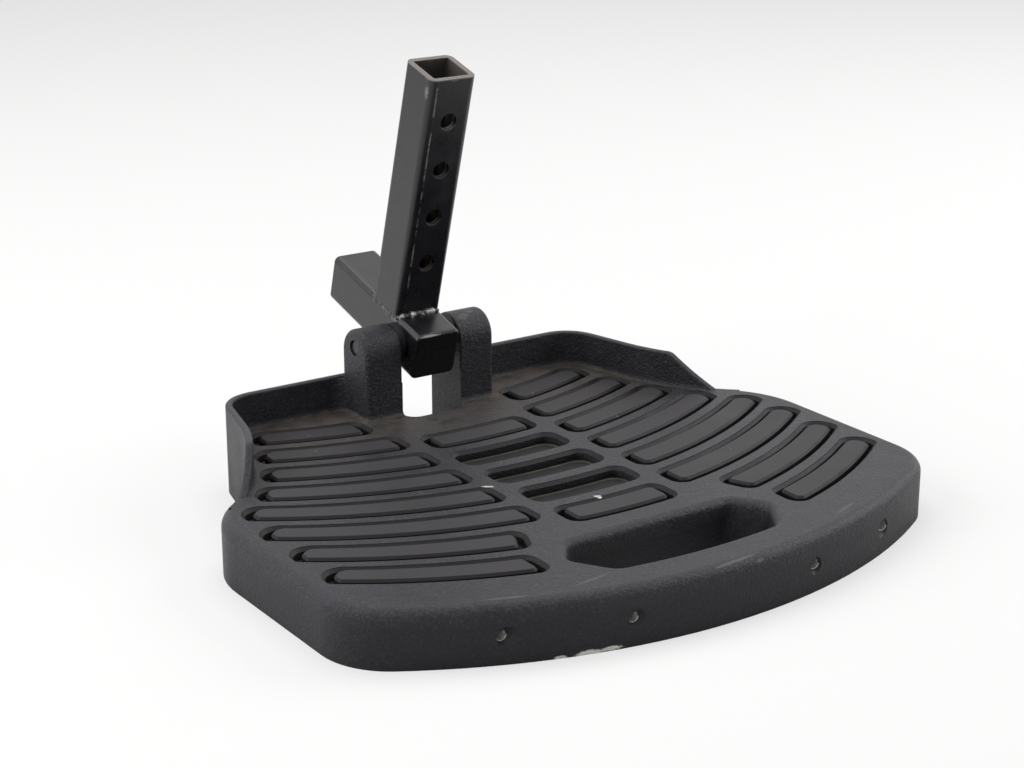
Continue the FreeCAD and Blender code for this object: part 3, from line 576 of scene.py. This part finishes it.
def hole_rim_highlights(tree, x, w):
    """A mask of the painted highlight on the lower rim of each of the post's holes."""
    down = add_node(tree, "ShaderNodeMath", {0: w, 1: HOLES[0].z}, operation="SUBTRACT")
    half = HOLE_PITCH / 2
    down = add_node(tree, "ShaderNodeMath", {0: down, 1: half, 2: -half}, operation="WRAP")
    offset = add_node(tree, "ShaderNodeCombineXYZ", {"X": x, "Z": down})
    from_axis = add_node(tree, "ShaderNodeVectorMath", {0: offset}, operation="LENGTH").outputs["Value"]
    ring = inside(tree, from_axis, HOLE_R - mm(0.3), HOLE_R + mm(0.15), mm(0.35))
    lower = {"Value": down, "From Min": mm(-1.0), "From Max": mm(-3.5), "To Max": 0.5}
    return overlap(tree, ring, add_node(tree, "ShaderNodeMapRange", lower))


def painted_tube(name, looks, wear_and_highlights=(), is_post=False):
    """Drawn steel tube in satin black paint: smooth, with thin broken lines of wear and painted highlight at
    its edges.
    """
    material, tree, shader, place = new_material(name, IOR=1.5)
    local = in_arm_frame(tree, place)
    x, v, w = add_node(tree, "ShaderNodeSeparateXYZ", {0: local}).outputs
    flow = add_node(
        tree, "ShaderNodeTexNoise", {"Vector": local, "Scale": 1 / mm(9), "Detail": 4.0, "Roughness": 0.6}
    )
    dapple = add_node(tree, "ShaderNodeTexNoise", {"Vector": local, "Scale": 1 / mm(1.3), "Detail": 3.0})
    colour = mottled(tree, flow, looks.paint, 1.0, 1.3)
    worn = rubbed_and_highlit_lines(tree, local, x, v, w, wear_and_highlights) if wear_and_highlights else []
    if is_post:
        # Thin overspray over mill scale shows grey on the inside.
        colour = tint(tree, colour, linear("#565250"), inside_of_post(tree, x, v))
        # The sawn end is rubbed to a dull grey brown.
        sawn = {"Value": w, "From Min": POST_TOP - mm(0.7), "From Max": POST_TOP - mm(0.25), "To Max": 0.75}
        # The lower rims of the holes get a painted highlight.
        worn += [add_node(tree, "ShaderNodeMapRange", sawn), hole_rim_highlights(tree, x, w)]
    rough = add_node(
        tree,
        "ShaderNodeMapRange",
        {"Value": flow, "From Min": 0.3, "From Max": 0.7, "To Min": 0.24, "To Max": 0.36},
    )
    if worn:
        # Rubbed paint and the painted highlights take the worn edge colour.
        bare = lay(tree, *worn)
        colour = tint(tree, colour, looks.worn_paint_and_highlight, bare)
        rough = add_node(tree, "ShaderNodeMath", {0: bare, 1: 0.2, 2: rough}, operation="MULTIPLY_ADD")
    bump = add_node(tree, "ShaderNodeBump", {"Strength": 0.06, "Distance": mm(0.1), "Height": dapple})
    feed(tree, shader, Base_Color=colour, Roughness=rough, Normal=bump)
    return material


def painted_weld(looks):
    """Arc weld under thin black paint: glossy lumps, with bright metal showing where the paint has flaked."""
    material, tree, shader, place = new_material("painted_arc_weld", IOR=1.5)
    local = in_arm_frame(tree, place)
    flake = add_node(
        tree, "ShaderNodeTexNoise", {"Vector": local, "Scale": 1 / mm(2.4), "Detail": 5.0, "Roughness": 0.7}
    )
    ragged = add_node(
        tree, "ShaderNodeTexNoise", {"Vector": local, "Scale": 1 / mm(0.9), "Detail": 5.0, "Roughness": 0.75}
    )
    ragged = add_node(tree, "ShaderNodeMath", {0: ragged, 1: 2.4, 2: -0.7}, operation="MULTIPLY_ADD")
    specks = add_node(
        tree, "ShaderNodeMapRange", {"Value": flake, "From Min": 0.61, "From Max": 0.66, "To Max": 0.7}
    )
    bare = lay(tree, specks, worn_patches(tree, local, ragged, WELD_FLAKES))
    colour = tint(tree, rgba(looks.paint), looks.bare_metal, bare)
    rough = add_node(
        tree,
        "ShaderNodeMapRange",
        {"Value": flake, "From Min": 0.4, "From Max": 0.7, "To Min": 0.35, "To Max": 0.5},
    )
    bump = add_node(tree, "ShaderNodeBump", {"Strength": 0.5, "Distance": mm(0.3), "Height": flake})
    feed(tree, shader, Base_Color=colour, Metallic=overlap(tree, bare, 0.5), Roughness=rough, Normal=bump)
    return material


def turned_steel(name, colour, metallic, roughness):
    """Turned steel: fine rings round its axis, about 0.15 mm apart and drawn at 0.3 mm so that they show."""
    material, tree, shader, place = new_material(name, Metallic=metallic)
    local = add_node(tree, "ShaderNodeMapping", {"Vector": place, "Location": HINGE}, vector_type="TEXTURE")
    rings = add_node(
        tree,
        "ShaderNodeTexWave",
        {"Vector": local, "Scale": 0.05 / mm(0.3), "Distortion": 0.6, "Detail": 2.0},
        wave_type="RINGS",
        rings_direction="X",
    ).outputs["Fac"]
    stain = add_node(tree, "ShaderNodeTexNoise", {"Vector": place, "Scale": 1 / mm(3), "Detail": 4.0})
    rough = add_node(
        tree, "ShaderNodeMapRange", {"Value": rings, "To Min": roughness - 0.06, "To Max": roughness + 0.06}
    )
    bump = add_node(tree, "ShaderNodeBump", {"Strength": 0.15, "Distance": mm(0.05), "Height": rings})
    feed(tree, shader, Base_Color=mottled(tree, stain, colour, 1.0, 0.7), Roughness=rough, Normal=bump)
    return material


def moulded_plastic(name, colour, roughness, wear_and_highlights=()):
    """Injection-moulded plastic: even, faintly rippled by its mould, with fine scratches and a rubbed lip
    with a painted highlight.
    """
    material, tree, shader, place = new_material(name, IOR=1.46)
    ripple = add_node(tree, "ShaderNodeTexNoise", {"Vector": place, "Scale": 1 / mm(2.2), "Detail": 2.0})
    stretched = add_node(
        tree,
        "ShaderNodeMapping",
        {
            "Vector": place,
            "Location": HINGE,
            "Rotation": (0.0, math.radians(24), 0.0),
            "Scale": mm(6.0, 1.0, 0.35),
        },
        vector_type="TEXTURE",
    )
    scratch = add_node(tree, "ShaderNodeTexNoise", {"Vector": stretched, "Scale": 1.0, "Detail": 2.0})
    fine = add_node(
        tree, "ShaderNodeMapRange", {"Value": scratch, "From Min": 0.68, "From Max": 0.74, "To Max": 0.35}
    )
    shade = tint(tree, rgba(colour), linear("#5c5a5c"), fine)
    if wear_and_highlights:
        ragged = add_node(tree, "ShaderNodeTexNoise", {"Vector": place, "Scale": 1 / mm(1.0), "Detail": 4.0})
        # Pale rubbed patches; on the front plug's lip this is also a painted highlight.
        shade = tint(tree, shade, linear("#b5b0aa"), worn_patches(tree, place, ragged, wear_and_highlights))
    rough = add_node(
        tree,
        "ShaderNodeMapRange",
        {
            "Value": ripple,
            "From Min": 0.3,
            "From Max": 0.7,
            "To Min": roughness - 0.05,
            "To Max": roughness + 0.07,
        },
    )
    bump = add_node(tree, "ShaderNodeBump", {"Strength": 0.1, "Distance": mm(0.12), "Height": ripple})
    feed(tree, shader, Base_Color=shade, Roughness=rough, Normal=bump)
    return material


def cut_aluminium(looks):
    """Tapped aluminium: bright, with the tool's fine lines along the thread."""
    material, tree, shader, place = new_material("tapped_aluminium", Metallic=1.0)
    lines = add_node(tree, "ShaderNodeTexNoise", {"Vector": place, "Scale": 1 / mm(0.4), "Detail": 3.0})
    shade = add_node(
        tree,
        "ShaderNodeMix",
        {0: lines, 6: rgba(looks.bare_metal), 7: rgba(looks.bare_metal, 0.55)},
        data_type="RGBA",
    )
    rough = add_node(tree, "ShaderNodeMapRange", {"Value": lines, "To Min": 0.25, "To Max": 0.5})
    feed(tree, shader, Base_Color=shade, Roughness=rough)
    return material


def new_piece(name, mesh, material, body):
    """Puts a finished bmesh into the scene as a piece that rides on a body."""
    old = bpy.data.objects.get(name)
    if old:
        bpy.data.objects.remove(old)
    bmesh.ops.recalc_face_normals(mesh, faces=mesh.faces)
    data = bpy.data.meshes.new(name)
    for face in mesh.faces:
        face.smooth = True
    mesh.to_mesh(data)
    mesh.free()
    data.materials.append(material)
    piece = bpy.data.objects.new(name, data)
    bpy.context.scene.collection.objects.link(piece)
    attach(piece, body)
    return piece


def run_of_weld(mesh, start, end, radius, ripple, rng):
    """Adds one run of weld bead to a bmesh, from start to end in the arm's frame, as stacked ripples."""
    way = end - start
    turn = way.to_track_quat("Z", "Y").to_matrix().to_4x4()
    last = radius * WELD_TAPER
    ring = bmesh.ops.create_circle(
        mesh, cap_ends=True, segments=14, radius=last, matrix=Matrix.Translation(start) @ turn
    )
    edges = list(dict.fromkeys(edge for vert in ring["verts"] for edge in vert.link_edges))
    steps = max(4, round(way.length / WELD_STEP))
    swell = 1.0
    for i in range(1, steps + 1):
        far = way.length * i / steps
        phase = (far / ripple) % 1.0
        if phase < 1.5 * WELD_STEP / ripple:
            # Each ripple has a size of its own.
            swell = rng.uniform(0.8, 1.12)
        lump = swell * (0.72 + 0.28 * math.sin(math.pi * min(1.0, phase + 0.15)))
        from_end = min(far, way.length - far) / (1.2 * radius)
        size = radius * lump * min(1.0, WELD_TAPER + (1 - WELD_TAPER) * from_end)
        made = bmesh.ops.extrude_edge_only(mesh, edges=edges)
        verts = [item for item in made["geom"] if isinstance(item, bmesh.types.BMVert)]
        edges = [item for item in made["geom"] if isinstance(item, bmesh.types.BMEdge)]
        bmesh.ops.translate(mesh, verts=verts, vec=way / steps)
        middle = start + way * i / steps
        bmesh.ops.scale(mesh, verts=verts, vec=(size / last,) * 3, space=Matrix.Translation(-middle))
        last = size
    bmesh.ops.contextual_create(mesh, geom=edges)


class FootPlatformFinishes(bpy.types.PropertyGroup):
    """Colours and textures of the foot platform's finishes."""

    coat: bpy.props.FloatVectorProperty(
        name="Powder coat",
        description="Colour of the casting's coat",
        subtype="COLOR",
        default=linear("#27262c"),
    )
    peel_size: bpy.props.FloatProperty(
        name="Grain size",
        description="Size of the powder coat's orange peel, in millimetres",
        default=1.2,
        min=0.3,
    )
    peel_strength: bpy.props.FloatProperty(
        name="Grain depth",
        description="How strongly the powder coat's grain shows",
        subtype="FACTOR",
        default=0.8,
    )
    dust: bpy.props.FloatVectorProperty(
        name="Dust",
        description="Colour of the dust in the corners",
        subtype="COLOR",
        default=linear("#5f564c"),
    )
    dust_amount: bpy.props.FloatProperty(
        name="Dust amount", description="How much dust lies on the heel floor", subtype="FACTOR", default=0.55
    )
    rubber: bpy.props.FloatVectorProperty(
        name="Tread rubber",
        description="Colour of the tread bars",
        subtype="COLOR",
        default=linear("#353335"),
    )
    paint: bpy.props.FloatVectorProperty(
        name="Tube paint", description="Colour of the arm's paint", subtype="COLOR", default=linear("#111116")
    )
    worn_paint_and_highlight: bpy.props.FloatVectorProperty(
        name="Worn edge",
        description="Colour where the arm's paint is rubbed",
        subtype="COLOR",
        default=linear("#7d746e"),
    )
    bare_metal: bpy.props.FloatVectorProperty(
        name="Bare metal",
        description="Colour of chipped and cut metal",
        subtype="COLOR",
        default=linear("#c9c7c2"),
    )
    plug: bpy.props.FloatVectorProperty(
        name="Plug plastic",
        description="Colour of the stub's end plugs",
        subtype="COLOR",
        default=linear("#101012"),
    )


class FootPlatformDetails(bpy.types.PropertyGroup):
    """Sizes of the modelled details."""

    weld_radius: bpy.props.FloatProperty(
        name="Weld radius",
        description="Radius of the weld bead at the post's foot",
        unit="LENGTH",
        default=0.0023,
    )
    weld_ripple: bpy.props.FloatProperty(
        name="Weld ripple", description="Distance between the bead's ripples", unit="LENGTH", default=0.0042
    )
    thread_pitch: bpy.props.FloatProperty(
        name="Thread pitch", description="Pitch of the toe edge's threads", unit="LENGTH", default=0.001
    )
    thread_depth: bpy.props.FloatProperty(
        name="Thread height",
        description="How far the thread stands in from the bore",
        unit="LENGTH",
        default=0.0005,
    )
    thread_length: bpy.props.FloatProperty(
        name="Thread length", description="Length of thread in each hole", unit="LENGTH", default=0.008
    )


class FootPlatformStudio(bpy.types.PropertyGroup):
    """The camera and the light."""

    camera_place: bpy.props.FloatVectorProperty(
        name="Camera",
        description="Where the camera stands",
        subtype="TRANSLATION",
        default=(-0.54752, -0.80149, 0.38560),
    )
    azimuth: bpy.props.FloatProperty(
        name="Azimuth",
        description="Way the camera looks, from +Y",
        subtype="ANGLE",
        default=math.radians(-34.093),
    )
    elevation: bpy.props.FloatProperty(
        name="Elevation",
        description="Camera's angle above the horizon",
        subtype="ANGLE",
        default=math.radians(18.443),
    )
    lens: bpy.props.FloatProperty(
        name="Lens", description="Focal length in millimetres", default=75.99, min=10
    )
    side_light: bpy.props.FloatProperty(
        name="Side light", description="Radiance of the soft box on the left", default=3.5, min=0
    )
    top_light: bpy.props.FloatProperty(
        name="Top light", description="Radiance of the soft box overhead", default=1.9, min=0
    )
    fill_light: bpy.props.FloatProperty(
        name="Fill light", description="Radiance of the soft box on the right", default=3.4, min=0
    )
    room_light: bpy.props.FloatProperty(
        name="Room light", description="Radiance of the room round the object", default=0.22, min=0
    )


class FOOTPLATFORM_OT_studio(bpy.types.Operator):
    """Set up the pale floor, the soft light and the camera"""

    bl_idname = "footplatform.studio"
    bl_label = "Studio"

    def execute(self, context):
        studio = context.scene.foot_platform_studio
        scene = context.scene
        for old in [o for o in scene.objects if o.name.startswith("studio_")]:
            bpy.data.objects.remove(old)

        mesh = bmesh.new()
        bmesh.ops.create_circle(mesh, cap_ends=True, segments=96, radius=FLOOR_R)
        data = bpy.data.meshes.new("studio_floor")
        mesh.to_mesh(data)
        mesh.free()
        floor = bpy.data.objects.new("studio_floor", data)
        scene.collection.objects.link(floor)
        paper = bpy.data.materials.new("studio_paper")
        paper.use_nodes = True
        tree = paper.node_tree
        tree.nodes.clear()
        matt = add_node(tree, "ShaderNodeBsdfDiffuse", {"Color": rgba(linear("#f6f6f5"))})
        glow = add_node(tree, "ShaderNodeEmission", {"Color": WHITE, "Strength": 1.0})
        # The far floor fades into the white room.
        place = add_node(tree, "ShaderNodeTexCoord").outputs["Object"]
        far = add_node(tree, "ShaderNodeVectorMath", {0: place}, operation="LENGTH").outputs["Value"]
        fade = add_node(
            tree,
            "ShaderNodeMapRange",
            {"Value": far, "From Min": FLOOR_FADE[0], "From Max": FLOOR_FADE[1], "To Min": 0.55},
            interpolation_type="SMOOTHSTEP",
        )
        seen = overlap(tree, add_node(tree, "ShaderNodeLightPath").outputs["Is Camera Ray"], fade)
        lit = add_node(tree, "ShaderNodeMixShader", {0: seen, 1: matt, 2: glow})
        add_node(tree, "ShaderNodeOutputMaterial", {"Surface": lit})
        data.materials.append(paper)

        world = bpy.data.worlds.new("studio_room")
        world.use_nodes = True
        scene.world = world
        tree = world.node_tree
        tree.nodes.clear()
        path = add_node(tree, "ShaderNodeLightPath").outputs
        shown = lay(tree, path["Is Camera Ray"], path["Is Glossy Ray"], path["Is Transmission Ray"])
        room = add_node(tree, "ShaderNodeBackground", {"Color": WHITE, "Strength": studio.room_light})
        backdrop = add_node(tree, "ShaderNodeBackground", {"Color": WHITE, "Strength": 1.0})
        lit = add_node(tree, "ShaderNodeMixShader", {0: shown, 1: room, 2: backdrop})
        add_node(tree, "ShaderNodeOutputWorld", {"Surface": lit})

        aim = (PLATE_LOW + PLATE_HIGH) / 2
        for name, (spot, width, height, setting) in LAMPS.items():
            lamp = bpy.data.lights.new(name, "AREA")
            lamp.shape = "RECTANGLE"
            lamp.size = width
            lamp.size_y = height
            lamp.energy = getattr(studio, setting) * math.pi * width * height
            box = bpy.data.objects.new(name, lamp)
            scene.collection.objects.link(box)
            box.location = spot
            box.rotation_euler = (aim - Vector(spot)).to_track_quat("-Z", "Y").to_euler()

        lens = bpy.data.cameras.new("studio_camera")
        lens.sensor_width = 36.0
        lens.lens = studio.lens
        lens.clip_start = 0.01
        camera = bpy.data.objects.new("studio_camera", lens)
        scene.collection.objects.link(camera)
        camera.location = studio.camera_place
        camera.rotation_euler = (math.pi / 2 - studio.elevation, 0.0, studio.azimuth)
        scene.camera = camera
        scene.view_settings.view_transform = "Standard"
        return {"FINISHED"}


class FOOTPLATFORM_OT_casting(bpy.types.Operator):
    """Powder coat the cast footplate"""

    bl_idname = "footplatform.casting"
    bl_label = "Footplate coat"

    def execute(self, context):
        dress(["footplate"], powder_coated_casting(context.scene.foot_platform_finishes))
        return {"FINISHED"}


class FOOTPLATFORM_OT_treads(bpy.types.Operator):
    """Give the tread bars their rubber"""

    bl_idname = "footplatform.treads"
    bl_label = "Tread rubber"

    def execute(self, context):
        dress(BARS, moulded_tread_rubber(context.scene.foot_platform_finishes))
        return {"FINISHED"}


class FOOTPLATFORM_OT_arm(bpy.types.Operator):
    """Paint the post, the stub and the stop bar, and finish the stub's plugs"""

    bl_idname = "footplatform.arm"
    bl_label = "Arm paint and plugs"

    def execute(self, context):
        looks = context.scene.foot_platform_finishes
        dress(["post_tube"], painted_tube("satin_paint_on_post", looks, POST_WEAR_AND_HIGHLIGHT, is_post=True))
        dress(["stub_tube"], painted_tube("satin_paint_on_stub", looks, STUB_WEAR))
        dress(["stop_bar"], painted_tube("satin_paint_on_bar", looks))
        dress(["stub_front_plug"], moulded_plastic("moulded_plug_plastic", looks.plug, 0.3, PLUG_WEAR_AND_HIGHLIGHT))
        dress(["stub_rear_plug"], moulded_plastic("moulded_plug_plastic_rear", looks.plug, 0.3))
        return {"FINISHED"}


class FOOTPLATFORM_OT_hinge(bpy.types.Operator):
    """Finish the hinge pin, its sleeve and its bushes"""

    bl_idname = "footplatform.hinge"
    bl_label = "Hinge metals"

    def execute(self, context):
        dress(["hinge_pin"], turned_steel("blackened_turned_steel", linear("#4a4b4e"), 0.55, 0.45))
        # Painted shade: the sleeve and the bushes, in the dark gap between the ears and the stub, are
        # coloured near black.
        dress(["pivot_sleeve"], turned_steel("oiled_turned_steel", linear("#2b2a2a"), 0.6, 0.5))
        dress(["bush_left", "bush_right"], moulded_plastic("moulded_nylon", linear("#08080a"), 0.75))
        return {"FINISHED"}


class FOOTPLATFORM_OT_weld(bpy.types.Operator):
    """Lay the rippled weld bead round the post's foot"""

    bl_idname = "footplatform.weld"
    bl_label = "Weld bead"

    def execute(self, context):
        looks = context.scene.foot_platform_finishes
        sizes = context.scene.foot_platform_details
        rng = random.Random(WELD_SEED)
        mesh = bmesh.new()
        reach = TUBE_HALF - mm(1.2)
        level = POST_FOOT + mm(0.3)
        for v in (POST_FRONT - mm(0.3), POST_REAR + mm(0.3)):
            start, end = Vector((-reach, v, level)), Vector((reach, v, level))
            run_of_weld(mesh, start, end, sizes.weld_radius, sizes.weld_ripple, rng)
        # Down the sides the bead is smaller, and lies in the stub's rounded corners.
        level = POST_FOOT - mm(1.2)
        for x in (mm(1.5) - TUBE_HALF, TUBE_HALF - mm(1.5)):
            start, end = Vector((x, POST_REAR, level)), Vector((x, POST_FRONT - mm(1), level))
            run_of_weld(mesh, start, end, sizes.weld_radius * 0.75, sizes.weld_ripple * 0.8, rng)
        # Uneven lumps, kept from standing out past the tube. Unseeded, they would differ from run to run.
        noise.seed_set(WELD_SEED)
        side = TUBE_HALF + mm(0.1)
        for vert in mesh.verts:
            vert.co += noise.noise_vector(vert.co / mm(1.4)) * mm(0.3)
            vert.co.x = min(max(vert.co.x, -side), side)
        bmesh.ops.transform(mesh, matrix=ARM, verts=mesh.verts)
        finish = painted_weld(looks)
        piece = new_piece("weld_bead", mesh, finish, "arm")
        soften = piece.modifiers.new("soften", "SUBSURF")
        soften.levels = soften.render_levels = 2
        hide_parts("post_weld")
        dress(["stop_bar_weld"], finish)
        return {"FINISHED"}


class FOOTPLATFORM_OT_threads(bpy.types.Operator):
    """Cut the screw threads in the toe edge's holes"""

    bl_idname = "footplatform.threads"
    bl_label = "Toe edge threads"

    def execute(self, context):
        sizes = context.scene.foot_platform_details
        turns = round(sizes.thread_length / sizes.thread_pitch)
        flank = sizes.thread_pitch * 0.42
        root = RIM_HOLE_R + mm(0.02)
        mesh = bmesh.new()
        for x, mouth, z in RIM_HOLES:
            # One tooth of the thread, in the plane of the hole's axis, wound down the hole.
            y = mouth + mm(0.3)
            corners = ((root, -flank), (root, flank), (root - sizes.thread_depth, 0.0))
            tooth = [mesh.verts.new((x + out, y + along, z)) for out, along in corners]
            edges = [mesh.edges.new((tooth[a], tooth[b])) for a, b in ((0, 2), (2, 1), (1, 0))]
            bmesh.ops.spin(
                mesh,
                geom=tooth + edges,
                cent=(x, mouth, z),
                axis=(0.0, 1.0, 0.0),
                dvec=(0.0, sizes.thread_pitch / THREAD_STEPS, 0.0),
                angle=math.tau * turns,
                steps=THREAD_STEPS * turns,
                use_merge=False,
            )
        bmesh.ops.holes_fill(mesh, edges=mesh.edges, sides=3)
        finish = cut_aluminium(context.scene.foot_platform_finishes)
        new_piece("toe_edge_threads", mesh, finish, "plate")
        return {"FINISHED"}


OPERATORS = (
    FOOTPLATFORM_OT_studio,
    FOOTPLATFORM_OT_casting,
    FOOTPLATFORM_OT_treads,
    FOOTPLATFORM_OT_arm,
    FOOTPLATFORM_OT_hinge,
    FOOTPLATFORM_OT_weld,
    FOOTPLATFORM_OT_threads,
)
GROUPS = {
    "foot_platform_finishes": FootPlatformFinishes,
    "foot_platform_details": FootPlatformDetails,
    "foot_platform_studio": FootPlatformStudio,
}


class FOOTPLATFORM_PT_panel(bpy.types.Panel):
    """Lists the foot platform's pieces and settings"""

    bl_idname = "FOOTPLATFORM_PT_panel"
    bl_label = "Foot platform"
    bl_space_type = "VIEW_3D"
    bl_region_type = "UI"
    bl_category = "Foot platform"

    def draw(self, context):
        for operator in OPERATORS:
            self.layout.operator(operator.bl_idname)
        for group in GROUPS:
            box = self.layout.box()
            settings = getattr(context.scene, group)
            for key in settings.bl_rna.properties.keys():
                if key not in ("rna_type", "name"):
                    box.prop(settings, key)


def register():
    for cls in (*GROUPS.values(), *OPERATORS, FOOTPLATFORM_PT_panel):
        bpy.utils.register_class(cls)
    for name, group in GROUPS.items():
        setattr(bpy.types.Scene, name, bpy.props.PointerProperty(type=group))


def unregister():
    for name in GROUPS:
        delattr(bpy.types.Scene, name)
    for cls in reversed((*GROUPS.values(), *OPERATORS, FOOTPLATFORM_PT_panel)):
        bpy.utils.unregister_class(cls)


def main():
    """Runs every operator in order."""
    register()
    for operator in OPERATORS:
        group, name = operator.bl_idname.split(".")
        getattr(getattr(bpy.ops, group), name)()


if __name__ == "__main__":
    main()
